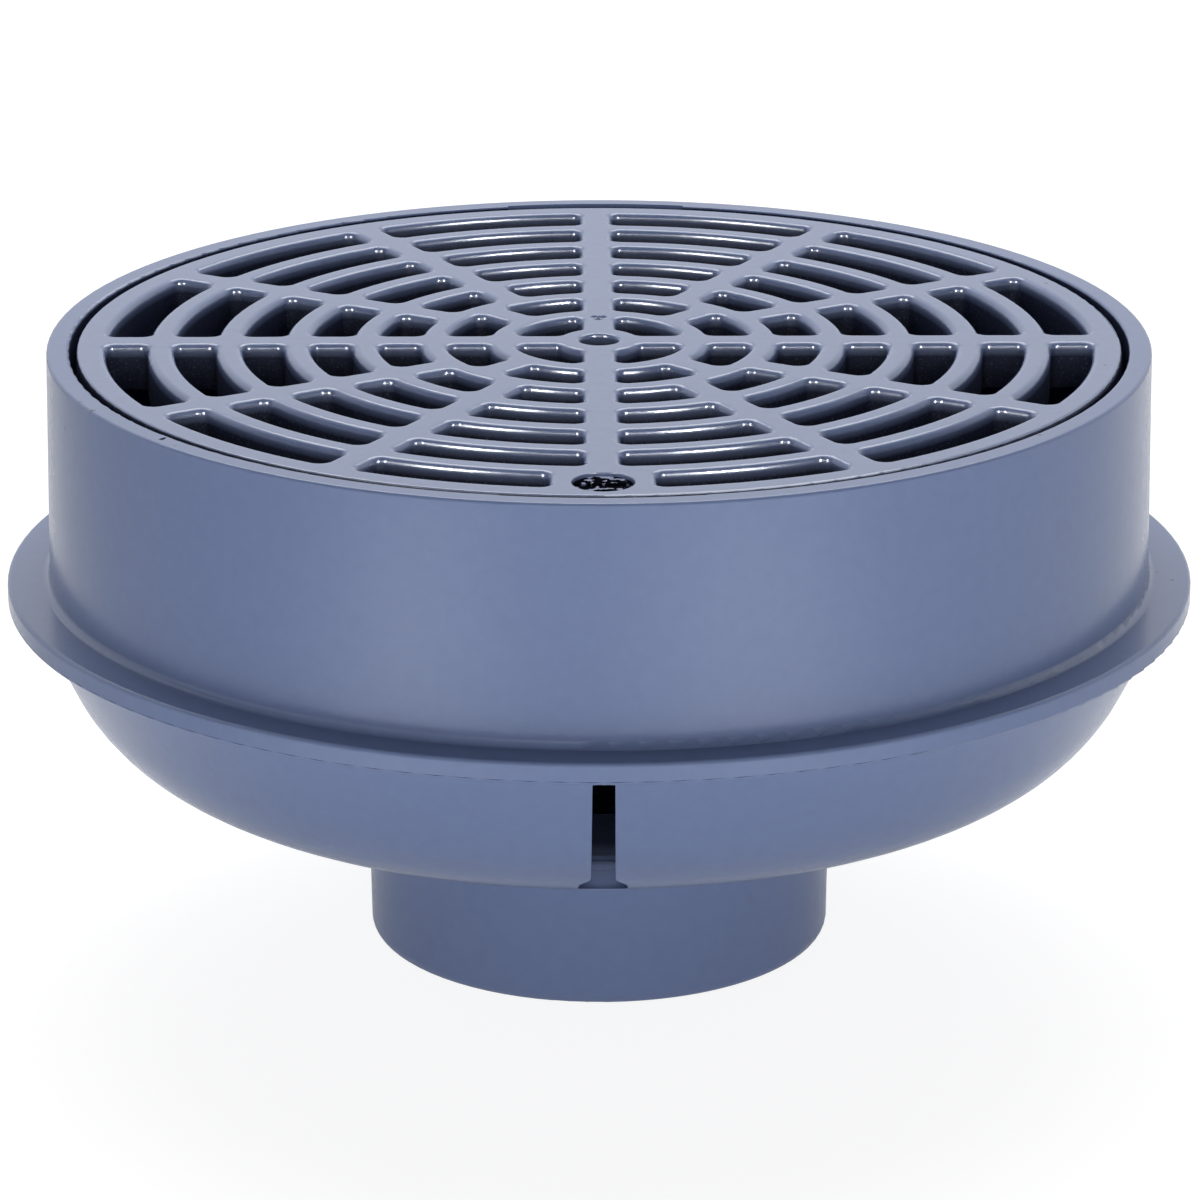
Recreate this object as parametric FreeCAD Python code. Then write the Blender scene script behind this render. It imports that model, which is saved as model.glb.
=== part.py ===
import FreeCAD, Part
import math
import os

from FreeCAD import Vector

# A cast floor drain standing on the bottom of its outlet neck. Millimetres and degrees, +Z up.
# The origin is at the centre of the neck's bottom face. The grate screw is at the front, towards -Y.

# Outlet neck
neck_length = 47.6
neck_wall = 10.9
neck_draft = 1.08
neck_edge_radius = 3.5
neck_root_radius = 6.0
thread_bore_radius = 54.6
thread_stop_depth = 9.6
thread_lead_in = 2.0
throat_step = 3.8
throat_mouth_radius = 8.0

# Bowl below the flange
bowl_floor_slope = 7.9
bowl_depth = 44.0
bowl_side_lean = 26.1
bowl_knee_radius = 47.6
bowl_step = 5.2
bowl_root_radius = 1.0
bowl_wall = 7.0

# Seepage flange
flange_thickness = 6.0
flange_width = 11.7
flange_edge_radius = 1.1
flange_root_radius = 2.0

# Wall and rim above the flange
rim_height = 65.0
rim_radius = 152.2
rim_wall = 6.25
rim_edge_radius = 0.9
wall_draft = 0.8
side_wall = 6.5

# Ledge that carries the grate
ledge_width = 8.5
ledge_thickness = 7.0
ledge_edge_radius = 1.2
ledge_underside_angle = 45.0
inside_corner_radius = 5.0

# Relief in the rim beside the screw pad and opposite it
relief_depth = 1.0
relief_half_angle = 10.3

# Weep slot in the bowl wall
weep_top_width = 5.8
weep_waist_width = 6.4
weep_foot_width = 12.9
weep_foot_height = 1.5
weep_flare_height = 5.2
weep_flare_ease = 2.6
weep_floor_rise = 1.7
weep_reach = 30.0

# Grate
grate_thickness = 12.7
grate_recess = 0.3
grate_gap = 1.95
grate_edge_radius = 1.0
outer_band = 8.0
ring_pitch = 18.75
slot_width = 11.55
smallest_hub_radius = 11.0
smallest_cell_width = 9.0
spoke_width = 9.5
cell_corner_radius = 2.6
bar_edge_radius = 2.0
lift_hole_radius = 5.3
lift_hole_edge_radius = 1.2

# Grate screw and what holds it
screw_inset = 11.8
screw_pad_land = 5.6
screw_radius = 3.97
screw_length = 26.0
screw_head_radius = 7.7
screw_head_angle = 82.0
screw_head_land = 0.6
screw_head_recess = 0.9
screw_slot_width = 1.9
screw_slot_depth = 1.7
screw_end_chamfer = 1.0
screw_hole_clearance = 0.45
countersink_clearance = 0.4
countersink_edge_radius = 0.4
tapped_hole_clearance = 0.05
tapped_hole_spare = 3.6
lug_wall = 7.0
lug_floor = 3.0
lug_edge_radius = 2.0

# Gouge in the rim
gouge_width = 1.3
gouge_depth = 1.6
gouge_length = 5.6
gouge_angle = 219.0
gouge_turn = 20.5
gouge_rise = 18.0

# Casting pit in the top of the back spoke
pit_distance = 22.3
pit_radius = 1.5
pit_depth = 1.0
pit_spread = 1.25
pit_lobes = 3

CELL_COUNTS = (12, 8, 4)
LARGEST_ROUNDING = 0.45
FRONT = 270.0
BACK = 90.0
UP = Vector(0, 0, 1)


def tan(angle):
    return math.tan(math.radians(angle))


def polar(radius, angle, z=0.0):
    """Point at a radius and an angle in degrees about the drain's axis."""
    a = math.radians(angle)
    return Vector(radius * math.cos(a), radius * math.sin(a), z)


# Radii that follow from the thread and from the rim
neck_top_radius = thread_bore_radius + neck_wall
neck_bottom_radius = neck_top_radius - neck_length * tan(neck_draft)
throat_radius = thread_bore_radius - throat_step
wall_base_radius = rim_radius + rim_height * tan(wall_draft)
flange_radius = wall_base_radius + flange_width
bowl_top_radius = wall_base_radius + bowl_step
knee_radius = bowl_top_radius - bowl_depth * tan(bowl_side_lean)
recess_radius = rim_radius - rim_wall
ledge_radius = recess_radius - ledge_width
grate_radius = recess_radius - grate_gap
slot_outer_radius = grate_radius - outer_band
screw_circle_radius = grate_radius - screw_inset
countersink_radius = screw_head_radius + countersink_clearance

# Heights, from the bottom of the neck up
thread_stop = neck_length - thread_stop_depth
knee_height = neck_length + (knee_radius - neck_top_radius) * tan(bowl_floor_slope)
bowl_top = knee_height + bowl_depth
flange_top = bowl_top + flange_thickness
rim_top = flange_top + rim_height
grate_top = rim_top - grate_recess
seat_height = grate_top - grate_thickness
screw_top = grate_top - screw_head_recess
tapped_hole_bottom = screw_top - screw_length - tapped_hole_spare
lug_bottom = tapped_hole_bottom - lug_floor


def rounded_face(points):
    """Face in the XZ plane from (radius, height, corner radius) points, with tangent arcs."""
    corners = []
    count = len(points)
    for i in range(count):
        x, z, radius = points[i]
        here = Vector(x, 0, z)
        before = Vector(points[i - 1][0], 0, points[i - 1][1])
        after = Vector(points[(i + 1) % count][0], 0, points[(i + 1) % count][1])
        if radius <= 0:
            corners.append((here, None, here))
            continue
        to_before = (before - here).normalize()
        to_after = (after - here).normalize()
        half_angle = to_before.getAngle(to_after) / 2.0
        reach = radius / math.tan(half_angle)
        bisector = (to_before + to_after).normalize()
        middle = here + bisector * (radius / math.sin(half_angle) - radius)
        corners.append((here + to_before * reach, middle, here + to_after * reach))
    edges = []
    for i in range(count):
        start, middle, end = corners[i]
        if middle is not None:
            edges.append(Part.Arc(start, middle, end).toShape())
        following = corners[(i + 1) % count][0]
        if (following - end).Length > 1e-6:
            edges.append(Part.LineSegment(end, following).toShape())
    return Part.Face(Part.Wire(edges))


def turned(points):
    """Solid of revolution about Z from (radius, height, corner radius) points."""
    return rounded_face(points).revolve(Vector(0, 0, 0), UP, 360)


def line_offset(x0, z0, angle, distance):
    """Slope and height at radius zero of a line through a point, moved up and inwards."""
    slope = tan(angle)
    return slope, z0 - slope * x0 + distance / math.cos(math.radians(angle))


def body_profile():
    """Section of the casting: up the outside, over the rim and down the inside."""
    side_angle = 90.0 - bowl_side_lean
    side_slope, side_zero = line_offset(bowl_top_radius, bowl_top, side_angle, bowl_wall)
    floor_slope, floor_zero = line_offset(neck_top_radius, neck_length, bowl_floor_slope, bowl_wall)
    ledge_bottom = seat_height - ledge_thickness
    inside_top_radius = rim_radius - side_wall
    inside_base_radius = wall_base_radius - side_wall
    ledge_root = ledge_bottom - (inside_top_radius - ledge_radius) * tan(ledge_underside_angle)
    inner_knee_radius = (side_zero - floor_zero) / (floor_slope - side_slope)
    bowl_inner_top = side_zero + side_slope * inside_base_radius
    return [
        (neck_bottom_radius, 0, neck_edge_radius),
        (neck_top_radius, neck_length, neck_root_radius),
        (knee_radius, knee_height, bowl_knee_radius),
        (bowl_top_radius, bowl_top, bowl_root_radius),
        (flange_radius, bowl_top, flange_edge_radius),
        (flange_radius, flange_top, flange_edge_radius),
        (wall_base_radius, flange_top, flange_root_radius),
        (rim_radius, rim_top, rim_edge_radius),
        (recess_radius, rim_top, rim_edge_radius),
        (recess_radius, seat_height, 0),
        (ledge_radius, seat_height, ledge_edge_radius),
        (ledge_radius, ledge_bottom, ledge_edge_radius),
        (inside_top_radius, ledge_root, inside_corner_radius),
        (inside_base_radius, bowl_inner_top, inside_corner_radius),
        (inner_knee_radius, floor_zero + floor_slope * inner_knee_radius, bowl_knee_radius - bowl_wall),
        (throat_radius, floor_zero + floor_slope * throat_radius, throat_mouth_radius),
        (throat_radius, thread_stop, 0),
        (thread_bore_radius, thread_stop, 0),
        (thread_bore_radius, thread_lead_in, 0),
        (thread_bore_radius + thread_lead_in, 0, 0),
    ]


def screw_lug():
    """Lug below the ledge, joined to the wall, with its lower edge rounded."""
    radius = screw_radius + lug_wall
    height = seat_height - lug_bottom
    wall_middle = rim_radius - side_wall / 2.0
    centre = polar(screw_circle_radius, FRONT, lug_bottom)
    boss = Part.makeCylinder(radius, height, centre)
    web = Part.makeBox(2 * radius, wall_middle - screw_circle_radius, height)
    web.translate(polar(wall_middle, FRONT, lug_bottom) - Vector(radius, 0, 0))
    lug = boss.fuse(web).removeSplitter()
    low = [e for e in lug.Edges if e.BoundBox.ZMax < lug_bottom + lug_edge_radius]
    lug = lug.makeFillet(lug_edge_radius, low)
    return lug.common(Part.makeCylinder(wall_middle, height, Vector(0, 0, lug_bottom)))


def tapped_hole():
    radius = screw_radius + tapped_hole_clearance
    depth = seat_height - tapped_hole_bottom
    return Part.makeCylinder(radius, depth, polar(screw_circle_radius, FRONT, tapped_hole_bottom))


def rim_relief(angle):
    """Shallow arc that widens the gap round the grate."""
    relief = Part.makeCylinder(
        recess_radius + relief_depth, rim_top - seat_height, Vector(0, 0, seat_height), UP, 2 * relief_half_angle
    )
    return relief.rotate(Vector(0, 0, 0), UP, angle - relief_half_angle)


def weep_slot():
    """Cutter for the slot under the flange, whose sides curve out to a wider foot."""
    top = weep_top_width / 2.0
    waist = weep_waist_width / 2.0
    foot = weep_foot_width / 2.0
    floor = knee_height + weep_floor_rise
    foot_top = floor + weep_foot_height
    flare_top = foot_top + weep_flare_height
    outside = -(flange_radius + weep_foot_width)

    def at(x, z):
        return Vector(x, outside, z)

    def flare(side):
        """S-shaped curve from the straight side out to the edge of the foot."""
        curve = Part.BezierCurve()
        curve.setPoles([
            at(side * waist, flare_top),
            at(side * waist, flare_top - weep_flare_ease),
            at(side * foot, foot_top + weep_flare_ease),
            at(side * foot, foot_top),
        ])
        return curve.toShape()

    def line(start, end):
        return Part.LineSegment(start, end).toShape()

    outline = Part.Wire(Part.__sortEdges__([
        line(at(-top, bowl_top), at(top, bowl_top)),
        line(at(top, bowl_top), at(waist, flare_top)),
        flare(1),
        line(at(foot, foot_top), at(foot, floor)),
        line(at(foot, floor), at(-foot, floor)),
        line(at(-foot, floor), at(-foot, foot_top)),
        flare(-1),
        line(at(-waist, flare_top), at(-top, bowl_top)),
    ]))
    inside = -(knee_radius - weep_reach)
    return Part.Face(outline).extrude(Vector(0, inside - outside, 0))


def rim_gouge():
    """Round-bottomed gouge, slanted across the inner edge of the rim and rising outwards."""
    start = polar(recess_radius - gouge_width, gouge_angle, rim_top - gouge_depth)
    direction = polar(1.0, gouge_angle + gouge_turn, tan(gouge_rise))
    return Part.makeCylinder(gouge_width / 2.0, gouge_length, start, direction)


def drain_body():
    body = turned(body_profile())
    body = body.fuse(screw_lug()).removeSplitter()
    cutters = [tapped_hole(), rim_relief(FRONT), rim_relief(BACK), weep_slot(), rim_gouge()]
    return body.cut(cutters)


def grate_blank():
    return turned([
        (0, seat_height, 0),
        (grate_radius, seat_height, 0),
        (grate_radius, grate_top, grate_edge_radius),
        (0, grate_top, 0),
    ])


def cell(outer, inner, start, end, start_half, end_half):
    """Cutter for one slot between two spokes, whose sides are parallel to the spokes."""
    def corner(radius, angle, half, turn):
        return polar(radius, angle + turn * math.degrees(math.asin(half / radius)), seat_height)

    a = corner(outer, start, start_half, 1)
    b = corner(outer, end, end_half, -1)
    c = corner(inner, end, end_half, -1)
    d = corner(inner, start, start_half, 1)
    middle = (start + end) / 2.0
    outline = Part.Wire([
        Part.Arc(a, polar(outer, middle, seat_height), b).toShape(),
        Part.LineSegment(b, c).toShape(),
        Part.Arc(c, polar(inner, middle, seat_height), d).toShape(),
        Part.LineSegment(d, a).toShape(),
    ])
    prism = Part.Face(outline).extrude(UP * grate_thickness)
    upright = [e for e in prism.Edges if e.BoundBox.ZLength > grate_thickness / 2.0]
    radius = min(cell_corner_radius, LARGEST_ROUNDING * (outer - inner))
    return prism.makeFillet(radius, upright)


def cell_count(inner):
    """Most cells that a ring can hold with each still wide enough."""
    for count in CELL_COUNTS:
        if 2 * math.pi * inner / count - spoke_width >= smallest_cell_width:
            return count
    return CELL_COUNTS[-1]


def grate_cells():
    cells = []
    pad_half = countersink_radius + screw_pad_land
    outer = slot_outer_radius
    while outer - slot_width >= smallest_hub_radius:
        inner = outer - slot_width
        count = cell_count(inner)
        for i in range(count):
            start = 360.0 / count * i
            end = start + 360.0 / count
            outermost = outer == slot_outer_radius
            start_half = pad_half if outermost and start == FRONT else spoke_width / 2.0
            end_half = pad_half if outermost and end == FRONT else spoke_width / 2.0
            cells.append(cell(outer, inner, start, end, start_half, end_half))
        outer -= ring_pitch
    return cells


def screw_hole():
    """Clearance hole and countersink for the grate screw."""
    radius = screw_radius + screw_hole_clearance
    mouth = countersink_radius
    cone_depth = (mouth - radius) / tan(screw_head_angle / 2.0)
    land = screw_top - screw_head_land
    centre = polar(screw_circle_radius, FRONT)
    hole = Part.makeCylinder(radius, grate_thickness, centre + Vector(0, 0, seat_height))
    cone = Part.makeCone(radius, mouth, cone_depth, centre + Vector(0, 0, land - cone_depth))
    mouth_hole = Part.makeCylinder(mouth, rim_top - land, centre + Vector(0, 0, land))
    return hole.fuse([cone, mouth_hole])


def lift_hole():
    return Part.makeCylinder(lift_hole_radius, grate_thickness, Vector(0, 0, seat_height))


def casting_pit():
    """Ragged pit, made of overlapping round lobes at different depths."""
    lobes = []
    for i in range(pit_lobes):
        turn = FRONT + 360.0 / pit_lobes * i
        depth = pit_depth * (1 - i / (2.0 * pit_lobes))
        height = grate_top + pit_radius - depth
        lobe = Part.makeSphere(pit_radius, polar(pit_distance, BACK, height) + polar(pit_spread, turn))
        lobes.append(lobe)
    return lobes


def grate():
    bar_width = ring_pitch - slot_width
    edge_radius = min(bar_edge_radius, LARGEST_ROUNDING * bar_width)
    blank = grate_blank().cut(grate_cells())
    middle = seat_height + grate_thickness / 2.0
    top = max((f for f in blank.Faces if f.BoundBox.ZMin > middle), key=lambda f: len(f.Wires))
    slot_edges = [e for w in top.Wires for e in w.Edges if w.BoundBox.XLength < grate_radius]
    rounded = blank.makeFillet(edge_radius, slot_edges)
    holed = rounded.cut([screw_hole(), lift_hole(), *casting_pit()])
    rounded = holed.makeFillet(lift_hole_edge_radius, mouth_edges(holed, lift_hole_radius))
    return rounded.makeFillet(countersink_edge_radius, mouth_edges(rounded, countersink_radius))


def mouth_edges(shape, radius):
    """Edge round the top of an upright hole in the grate."""
    middle = seat_height + grate_thickness / 2.0
    rims = [e for e in shape.Edges if abs(e.BoundBox.XLength - 2 * radius) < 0.01]
    top = max(e.BoundBox.ZMax for e in rims)
    return [e for e in rims if e.BoundBox.ZMin > middle and abs(e.BoundBox.ZMax - top) < 0.01]


def grate_screw():
    """Countersunk slotted screw, head up, through the grate and into the lug."""
    land = screw_top - screw_head_land
    tip = screw_top - screw_length
    cone_depth = (screw_head_radius - screw_radius) / tan(screw_head_angle / 2.0)
    screw = turned([
        (0, screw_top, 0),
        (0, tip, 0),
        (screw_radius - screw_end_chamfer, tip, 0),
        (screw_radius, tip + screw_end_chamfer, 0),
        (screw_radius, land - cone_depth, 0),
        (screw_head_radius, land, 0),
        (screw_head_radius, screw_top, 0),
    ])
    slot_length = 2 * (screw_head_radius + screw_slot_width)
    slot = Part.makeBox(slot_length, screw_slot_width, screw_slot_depth)
    slot.translate(Vector(-slot_length / 2.0, -screw_slot_width / 2.0, screw_top - screw_slot_depth))
    return screw.cut(slot).translate(polar(screw_circle_radius, FRONT))


def main():
    os.makedirs("parts", exist_ok=True)
    pieces = {"drain_body": drain_body(), "grate": grate(), "grate_screw": grate_screw()}
    for name, shape in pieces.items():
        solid = shape.Solids[0]
        print(name, "solids", len(shape.Solids), "valid", solid.isValid(), "volume", round(solid.Volume, 1))
        solid.exportStep("parts/" + name + ".step")


main()
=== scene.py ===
import math

import bpy
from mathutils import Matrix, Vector

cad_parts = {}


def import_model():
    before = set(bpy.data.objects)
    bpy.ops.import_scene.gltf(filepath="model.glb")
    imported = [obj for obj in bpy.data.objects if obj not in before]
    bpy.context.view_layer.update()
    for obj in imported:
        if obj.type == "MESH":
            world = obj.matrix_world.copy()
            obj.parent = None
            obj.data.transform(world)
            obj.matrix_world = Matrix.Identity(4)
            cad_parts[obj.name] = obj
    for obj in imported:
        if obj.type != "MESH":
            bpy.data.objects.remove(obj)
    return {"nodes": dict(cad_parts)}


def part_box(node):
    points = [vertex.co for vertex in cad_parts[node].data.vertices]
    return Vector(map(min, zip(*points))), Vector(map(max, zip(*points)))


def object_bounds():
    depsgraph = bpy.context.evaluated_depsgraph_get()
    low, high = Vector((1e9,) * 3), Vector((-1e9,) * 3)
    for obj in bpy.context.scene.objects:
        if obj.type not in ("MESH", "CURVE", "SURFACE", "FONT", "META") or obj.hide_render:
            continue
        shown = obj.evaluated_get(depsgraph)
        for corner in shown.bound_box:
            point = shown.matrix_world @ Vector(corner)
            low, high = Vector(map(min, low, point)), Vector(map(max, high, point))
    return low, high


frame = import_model()
cad_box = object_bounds()

MM = 0.001

# The camera, measured from the centre of the rim's top plane.
CAMERA_BACK = 1.54705
CAMERA_UP = 0.44104
CAMERA_AZIMUTH = math.radians(-0.45)
CAMERA_HEADING = math.radians(-0.459)
CAMERA_PITCH = math.radians(-18.49)
SENSOR_WIDTH = 36.0
LENS_PIXELS = 5816.4
IMAGE_PIXELS = 1200.0

# Colours, linear.
ENAMEL = (0.133, 0.176, 0.312)
ENAMEL_DEEP = (0.115, 0.152, 0.275)
SPECK = (0.02, 0.024, 0.035)
# Painted light: a paler blue for the weep slot's foot.
FOOT_PAINTED_LIGHT = (0.3, 0.39, 0.66)
# Painted shade: the dark of the castings' hidden insides.
INSIDE_PAINTED_SHADE = (0.016, 0.022, 0.052)
SCREW_DARK = (0.003, 0.0035, 0.006)
SCREW_LIGHT = (0.18, 0.22, 0.37)
WHITE = (1.0, 1.0, 1.0, 1.0)

# The floor: its brightness for the lamps' light and as the camera sees it, and its radius in metres.
FLOOR_WHITE = 0.6
FLOOR_GLOW = 0.28
FLOOR_SEEN_WHITE = (0.22, 0.22, 0.22, 1.0)
FLOOR_SEEN_GLOW = 0.87
FLOOR_RADIUS = 6.0

# The castings' specular level, outside and where hidden, and how strong their grain is.
BODY_GLOSS = 0.3
GRATE_GLOSS = 0.5
HIDDEN_GLOSS = 0.05
BODY_GRAIN = 1.0
GRATE_GRAIN = 1.4

# Height of the relief in the materials.
GRAIN_HEIGHT = 0.06 * MM
SCREW_RELIEF = 2.0 * MM

# Lamps: distances in metres, angles in degrees.
FRONT_DISTANCE = 1.8
FRONT_ELEVATION = 10.0
STRIP_DISTANCE = 1.6
STRIP_ELEVATION = 33.0
POOL_DISTANCE = 0.62
POOL_HEIGHT = 0.5
POOL_SPREAD = 60.0

# A mix node's sockets for colours, by number because several sockets share a name.
MIX_FACTOR = 0
MIX_FIRST = 6
MIX_SECOND = 7
MIX_RESULT = 2

# Heights of the rim and of the grate's top.
top = cad_box[1][2]
grate_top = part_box("grate")[1][2]

# Places on the solids, in metres.
RECESS_RADIUS = 0.14595
GRATE_RADIUS = 0.144
WEEP_FOOT = (0.0, -0.1255, 0.0592)
FLANGE_TOP = 0.1075
NECK_RADIUS = 0.0655

# Dark pits in the enamel: place and radius in millimetres.
BODY_MARKS = (
    ((-138.4, -60.7, 171.9), 0.9),
    ((-134.6, -68.7, 171.9), 1.1),
    ((-110.9, -101.0, 171.9), 0.8),
    ((114.4, -93.1, 172.4), 0.6),
    ((-144.2, -49.6, 161.9), 0.6),
    ((-146.6, -47.1, 129.5), 0.5),
    ((154.9, -10.5, 107.5), 0.5),
    ((158.7, -17.6, 107.5), 0.6),
)
GRATE_MARKS = (
    ((34.9, -119.6, 172.1), 0.7),
    ((-34.0, -124.2, 171.9), 0.8),
    ((128.2, 57.4, 172.2), 0.6),
    ((137.5, -26.7, 172.2), 0.5),
)

# Paler enamel in the weep slot's foot, a painted patch of light, in millimetres.
PAINTED_LIGHT_PATCHES = (((0.0, -117.0, 59.5), 11.0),)


def material(name):
    """New node material, its tree and its output."""
    mat = bpy.data.materials.new(name)
    mat.use_nodes = True
    tree = mat.node_tree
    tree.nodes.clear()
    output = tree.nodes.new("ShaderNodeOutputMaterial")
    return mat, tree, output


def node(tree, kind, inputs=None, **settings):
    """New node with its settings and its inputs, which are values or other nodes' sockets."""
    made = tree.nodes.new(kind)
    for key, value in settings.items():
        setattr(made, key, value)
    for key, value in (inputs or {}).items():
        if isinstance(value, bpy.types.NodeSocket):
            tree.links.new(value, made.inputs[key])
        else:
            made.inputs[key].default_value = value
    return made


def noise(tree, place, scale, detail=2.0, roughness=0.5):
    return node(
        tree, "ShaderNodeTexNoise",
        {"Vector": place, "Scale": scale, "Detail": detail, "Roughness": roughness},
    ).outputs["Fac"]


def between(tree, value, low, high, to_low=0.0, to_high=1.0):
    """A value's range, clamped and mapped to another range."""
    return node(
        tree, "ShaderNodeMapRange",
        {"Value": value, "From Min": low, "From Max": high, "To Min": to_low, "To Max": to_high},
    ).outputs["Result"]


def mixed(tree, factor, first, second):
    """Colour between two colours."""
    made = node(tree, "ShaderNodeMix", data_type="RGBA")
    for index, value in ((MIX_FACTOR, factor), (MIX_FIRST, first), (MIX_SECOND, second)):
        if isinstance(value, bpy.types.NodeSocket):
            tree.links.new(value, made.inputs[index])
        elif isinstance(value, tuple):
            made.inputs[index].default_value = (*value, 1.0)
        else:
            made.inputs[index].default_value = value
    return made.outputs[MIX_RESULT]


def mixed_value(tree, factor, first, second):
    """Number between two numbers."""
    return node(tree, "ShaderNodeMix", {"Factor": factor, "A": first, "B": second}).outputs["Result"]


def calculate(tree, operation, first, second):
    """Result of one operation on two numbers."""
    return node(tree, "ShaderNodeMath", {0: first, 1: second}, operation=operation).outputs[0]


def product(tree, first, second):
    return calculate(tree, "MULTIPLY", first, second)


def larger(tree, first, second):
    return calculate(tree, "MAXIMUM", first, second)


def distance(tree, place, centre):
    return node(tree, "ShaderNodeVectorMath", {0: place, 1: centre}, operation="DISTANCE").outputs["Value"]


def components(tree, vector):
    return node(tree, "ShaderNodeSeparateXYZ", {"Vector": vector}).outputs


def level(tree, vector):
    """A vector with its height left out."""
    parts = components(tree, vector)
    return node(tree, "ShaderNodeCombineXYZ", {"X": parts["X"], "Y": parts["Y"]}).outputs["Vector"]


def axis_distance(tree, place):
    """Distance from the drain's axis."""
    return node(tree, "ShaderNodeVectorMath", {0: level(tree, place)}, operation="LENGTH").outputs["Value"]


def spotted(tree, place, colour, marks, tint):
    """Colour with round spots of another colour at given places, each with its own radius."""
    for centre, radius in marks:
        spot = between(tree, distance(tree, place, Vector(centre) * MM), radius * MM, 0.6 * radius * MM)
        colour = mixed(tree, spot, colour, tint)
    return colour


def enamel(name, grain, gloss, hidden, marks, painted_light_spots=()):
    """Satin enamel over a cast surface, with painted shade flecked with dust where hidden, dark marks, and
    paler patches of painted light.
    """
    mat, tree, output = material(name)
    place = node(tree, "ShaderNodeTexCoord").outputs["Object"]
    waves = noise(tree, place, 45.0, 3.0)
    mottle = noise(tree, place, 260.0, 4.0, 0.6)
    fine = noise(tree, place, 1500.0, 3.0, 0.6)
    peel = noise(tree, place, 650.0)

    shade = mixed(tree, between(tree, mottle, 0.3, 0.7), ENAMEL_DEEP, ENAMEL)
    colour = mixed(tree, 0.65, shade, ENAMEL)
    # Painted shade: the insides darken towards a dark blue, flecked with dust.
    inside = hidden(tree, place)
    dust = between(tree, fine, 0.55, 0.75)
    dust_and_shade = mixed(tree, product(tree, dust, 0.5), INSIDE_PAINTED_SHADE, ENAMEL_DEEP)
    colour = mixed(tree, inside, colour, dust_and_shade)
    # Painted light: paler patches of enamel where the weep slot's foot stands in shade.
    colour = spotted(tree, place, colour, painted_light_spots, FOOT_PAINTED_LIGHT)
    colour = spotted(tree, place, colour, marks, SPECK)

    broad = calculate(tree, "ADD", product(tree, peel, 0.65 * grain), product(tree, waves, 1.6))
    height = calculate(tree, "ADD", product(tree, fine, 0.35 * grain), broad)
    bump = node(tree, "ShaderNodeBump", {"Height": height, "Strength": 0.35, "Distance": GRAIN_HEIGHT})
    satin = between(tree, mottle, 0.25, 0.75, 0.19, 0.25)
    roughness = calculate(tree, "ADD", satin, product(tree, inside, 0.35))
    shader = node(
        tree, "ShaderNodeBsdfPrincipled",
        {
            "Base Color": colour,
            "Roughness": roughness,
            "Specular IOR Level": between(tree, inside, 0.0, 1.0, gloss, HIDDEN_GLOSS),
            "Normal": bump.outputs[0],
            "IOR": 1.5,
        },
    )
    tree.links.new(shader.outputs[0], output.inputs["Surface"])
    return mat


def body_painted_shade_mask(tree, place):
    """Mask of painted shade on the body's inside: round the grate, behind the wall, and in the bowl past the
    weep's foot.
    """
    radius = axis_distance(tree, place)
    z = components(tree, place)["Z"]
    gap = between(tree, radius, RECESS_RADIUS + 0.6 * MM, RECESS_RADIUS + 0.2 * MM)
    recess = product(tree, gap, between(tree, z, top - 0.25 * MM, top - 0.7 * MM))
    deep = between(tree, z, top - 3.0 * MM, top - 5.0 * MM)
    behind_wall = between(tree, radius, RECESS_RADIUS + 2.0 * MM, RECESS_RADIUS + 1.0 * MM)
    upper = larger(tree, product(tree, deep, behind_wall), recess)

    normal = node(tree, "ShaderNodeNewGeometry").outputs["True Normal"]
    upward = between(tree, components(tree, normal)["Z"], 0.03, 0.15)
    along = node(
        tree, "ShaderNodeVectorMath", {0: level(tree, place), 1: normal}, operation="DOT_PRODUCT"
    ).outputs["Value"]
    inward = between(tree, along, -4.0 * MM, -10.0 * MM)
    past_foot = between(tree, distance(tree, place, WEEP_FOOT), 8.0 * MM, 34.0 * MM)
    bowl = product(tree, larger(tree, upward, inward), past_foot)

    above_flange = between(tree, z, FLANGE_TOP - 2.0 * MM, FLANGE_TOP - 1.0 * MM)
    return mixed_value(tree, above_flange, bowl, upper)


def grate_painted_shade_mask(tree, place):
    """Mask of painted shade on the sides and the underside of the grate's bars, and on its outer edge."""
    radius = axis_distance(tree, place)
    z = components(tree, place)["Z"]
    bars = between(tree, z, grate_top - 1.2 * MM, grate_top - 3.8 * MM)
    edge = between(tree, z, grate_top - 0.15 * MM, grate_top - 0.5 * MM)
    outside = between(tree, radius, GRATE_RADIUS - 0.8 * MM, GRATE_RADIUS - 0.4 * MM)
    return larger(tree, bars, product(tree, edge, outside))


def screw_metal():
    """Dark rough steel with scraps of enamel on it."""
    mat, tree, output = material("screw_metal")
    place = node(tree, "ShaderNodeTexCoord").outputs["Object"]
    lumps = noise(tree, place, 460.0)
    fine = noise(tree, place, 1400.0, 3.0, 0.6)
    scraps = between(tree, lumps, 0.55, 0.59)
    height = calculate(tree, "ADD", lumps, product(tree, fine, 0.3))
    bump = node(tree, "ShaderNodeBump", {"Height": height, "Strength": 1.0, "Distance": SCREW_RELIEF})
    shader = node(
        tree, "ShaderNodeBsdfPrincipled",
        {
            "Base Color": mixed(tree, scraps, SCREW_DARK, SCREW_LIGHT),
            "Roughness": between(tree, scraps, 0.0, 1.0, 0.5, 0.25),
            "Specular IOR Level": between(tree, scraps, 0.0, 1.0, 0.0, 0.6),
            "Normal": bump.outputs[0],
        },
    )
    tree.links.new(shader.outputs[0], output.inputs["Surface"])
    return mat


def glowing(tree, strength, colour):
    """Dull surface with a glow of its own."""
    glow = node(tree, "ShaderNodeEmission", {"Strength": strength})
    dull = node(tree, "ShaderNodeBsdfDiffuse", {"Color": colour})
    return node(tree, "ShaderNodeAddShader", {0: glow.outputs[0], 1: dull.outputs[0]}).outputs[0]


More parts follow.
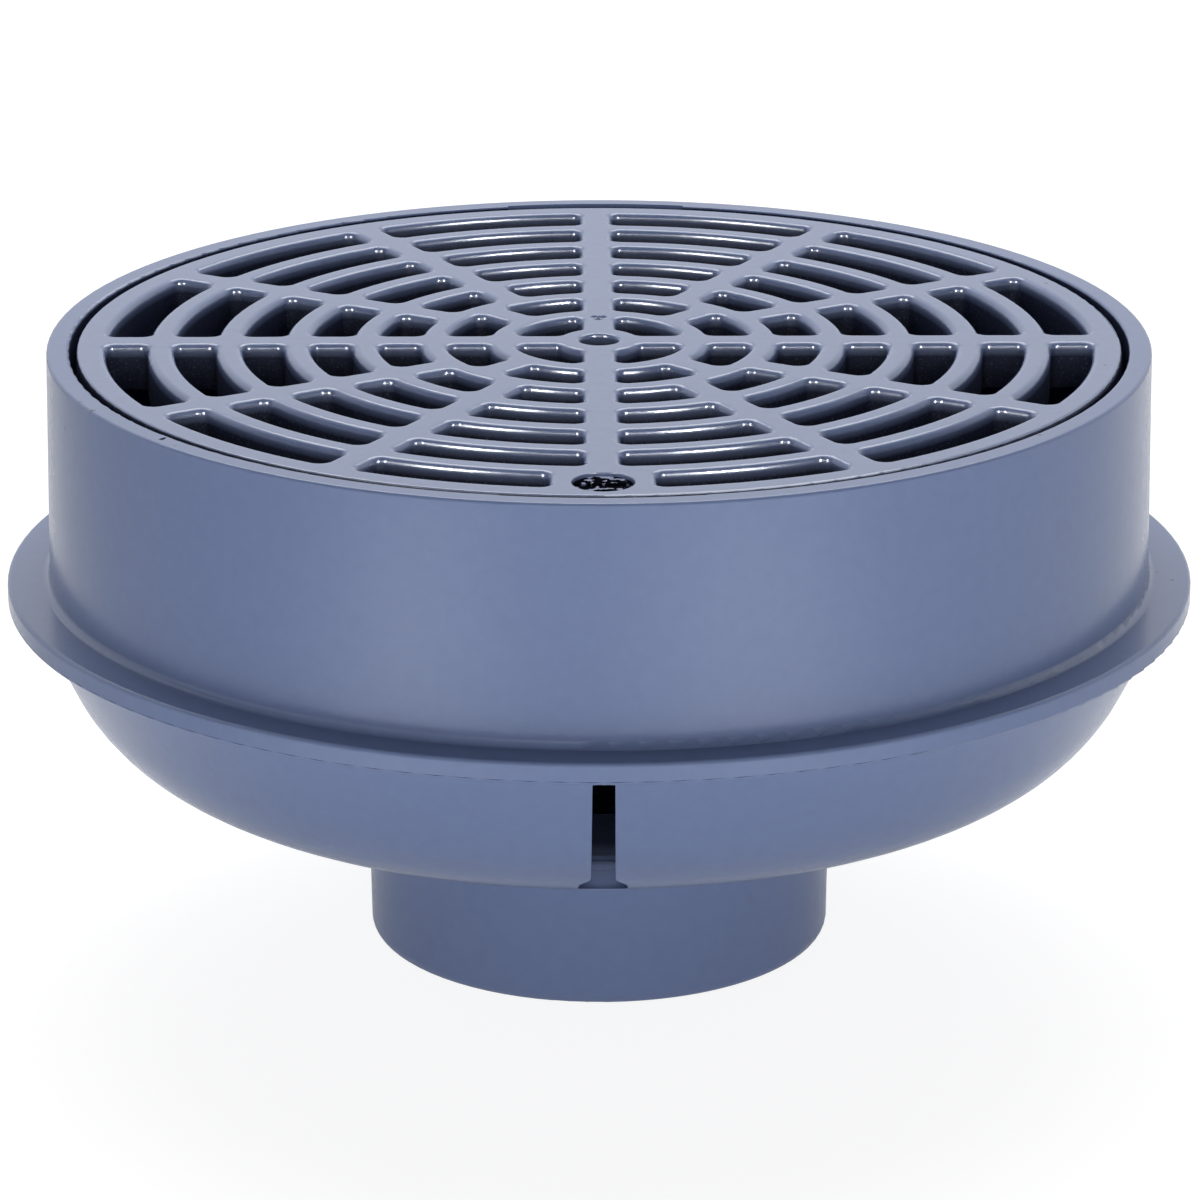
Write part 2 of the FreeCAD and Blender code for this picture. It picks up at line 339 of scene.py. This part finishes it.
def camera_sees(tree, seen, otherwise):
    """One shader for the camera and another for every other ray."""
    camera_ray = node(tree, "ShaderNodeLightPath").outputs["Is Camera Ray"]
    return node(tree, "ShaderNodeMixShader", {0: camera_ray, 1: otherwise, 2: seen}).outputs[0]


def floor_material():
    """Pale glowing floor, dark under the outlet, with painted shade making it duller on the left.

    The camera sees it as white, with a faint shadow kept.
    """
    mat, tree, output = material("floor_white")
    place = node(tree, "ShaderNodeTexCoord").outputs["Object"]
    tone = between(tree, noise(tree, place, 3.0), 0.0, 1.0, 0.97, 1.0)
    # Painted shade: the floor is duller to the left, for less light from that side.
    side = between(tree, components(tree, place)["X"], -0.6, -0.2, 0.6, 1.0)
    outside = between(tree, axis_distance(tree, place), NECK_RADIUS - 8.0 * MM, NECK_RADIUS - 7.0 * MM)
    glow = product(tree, product(tree, outside, side), FLOOR_GLOW)
    white = mixed(tree, product(tree, tone, side), (0.0, 0.0, 0.0), (FLOOR_WHITE,) * 3)
    lit = glowing(tree, glow, white)
    seen = glowing(tree, product(tree, outside, FLOOR_SEEN_GLOW), FLOOR_SEEN_WHITE)
    tree.links.new(camera_sees(tree, seen, lit), output.inputs["Surface"])
    return mat


def dress_nodes():
    """Give each CAD node its material."""
    finishes = {
        "drain_body": enamel("body_enamel", BODY_GRAIN, BODY_GLOSS, body_painted_shade_mask, BODY_MARKS, PAINTED_LIGHT_PATCHES),
        "grate": enamel("grate_enamel", GRATE_GRAIN, GRATE_GLOSS, grate_painted_shade_mask, GRATE_MARKS),
        "grate_screw": screw_metal(),
    }
    for name, finish in finishes.items():
        piece = frame["nodes"][name]
        piece.data.materials.clear()
        piece.data.materials.append(finish)


def floor():
    bpy.ops.mesh.primitive_circle_add(vertices=96, radius=FLOOR_RADIUS, fill_type="NGON")
    disc = bpy.context.object
    disc.name = "floor"
    disc.data.materials.append(floor_material())


def toward(azimuth, elevation):
    """Direction from the drain, with azimuth 0 at the front and positive to the right, in degrees."""
    a = math.radians(azimuth)
    e = math.radians(elevation)
    return Vector((math.sin(a) * math.cos(e), -math.cos(a) * math.cos(e), math.sin(e)))


def softbox(name, place, aim, width, height, radiance, spread=180.0):
    """Rectangular lamp at a place, facing a point, with its brightness as gloss sees it."""
    data = bpy.data.lights.new(name, "AREA")
    data.shape = "RECTANGLE"
    data.size = width
    data.size_y = height
    data.energy = radiance * math.pi * width * height
    data.spread = math.radians(spread)
    light = bpy.data.objects.new(name, data)
    bpy.context.scene.collection.objects.link(light)
    light.location = place
    light.rotation_euler = (aim - place).to_track_quat("-Z", "Y").to_euler()
    light.visible_camera = False
    return light


def lights():
    """Lamp overhead, one low in front, two that light the floor, and three for the grate's gloss alone."""
    rim = Vector((0.0, 0.0, top))
    softbox("overhead_box", Vector((0.0, 1.2, 1.9)), rim, 2.0, 1.2, 5.7)
    front = softbox("front_box", rim + toward(0.0, FRONT_ELEVATION) * FRONT_DISTANCE, rim, 1.2, 0.4, 6.3)
    front.visible_glossy = False
    for name, azimuth, width, radiance in (("left_pool", -35.0, 0.18, 11.0), ("right_pool", 27.0, 0.32, 6.5)):
        floor_spot = toward(azimuth, 0.0) * POOL_DISTANCE
        place = floor_spot + Vector((0.0, 0.0, POOL_HEIGHT))
        lamp = softbox(name, place, floor_spot, width, 0.3, radiance, POOL_SPREAD)
        # It points straight down, turned by its azimuth.
        lamp.rotation_euler = (0.0, 0.0, math.radians(azimuth))
        lamp.visible_glossy = False
    grate_only = bpy.data.collections.new("grate_only")
    grate_only.objects.link(frame["nodes"]["grate"])
    for name, azimuth, width, height, radiance in (
        ("left_strip", -40.0, 0.3, 0.7, 80.0),
        ("right_strip", 33.0, 0.3, 0.7, 80.0),
        ("front_strip", 0.0, 0.9, 0.3, 12.0),
    ):
        place = rim + toward(azimuth, STRIP_ELEVATION) * STRIP_DISTANCE
        lamp = softbox(name, place, rim, width, height, radiance)
        lamp.visible_diffuse = False
        lamp.light_linking.receiver_collection = grate_only


def world():
    """White low down and behind, dark above the front. The camera sees plain white."""
    scene_world = bpy.data.worlds.new("studio")
    bpy.context.scene.world = scene_world
    scene_world.use_nodes = True
    tree = scene_world.node_tree
    tree.nodes.clear()
    output = tree.nodes.new("ShaderNodeOutputWorld")
    direction = node(tree, "ShaderNodeTexCoord").outputs["Generated"]
    parts = components(tree, direction)
    front = between(tree, parts["Y"], 0.45, 0.1)
    high = between(tree, parts["Z"], 0.2, 0.36)
    glow = between(tree, product(tree, front, high), 0.0, 1.0, 1.0, 0.06)
    studio = node(tree, "ShaderNodeBackground", {"Color": WHITE, "Strength": glow})
    white = node(tree, "ShaderNodeBackground", {"Color": WHITE, "Strength": 1.0})
    shader = camera_sees(tree, white.outputs[0], studio.outputs[0])
    tree.links.new(shader, output.inputs["Surface"])


def camera():
    data = bpy.data.cameras.new("camera")
    data.sensor_width = SENSOR_WIDTH
    data.lens = LENS_PIXELS / IMAGE_PIXELS * SENSOR_WIDTH
    eye = bpy.data.objects.new("camera", data)
    bpy.context.scene.collection.objects.link(eye)
    eye.location = (
        CAMERA_BACK * math.sin(CAMERA_AZIMUTH),
        -CAMERA_BACK * math.cos(CAMERA_AZIMUTH),
        top + CAMERA_UP,
    )
    eye.rotation_euler = (math.pi / 2 + CAMERA_PITCH, 0.0, CAMERA_HEADING)
    bpy.context.scene.camera = eye


camera()
dress_nodes()
floor()
lights()
world()
bpy.context.scene.view_settings.view_transform = "Standard"
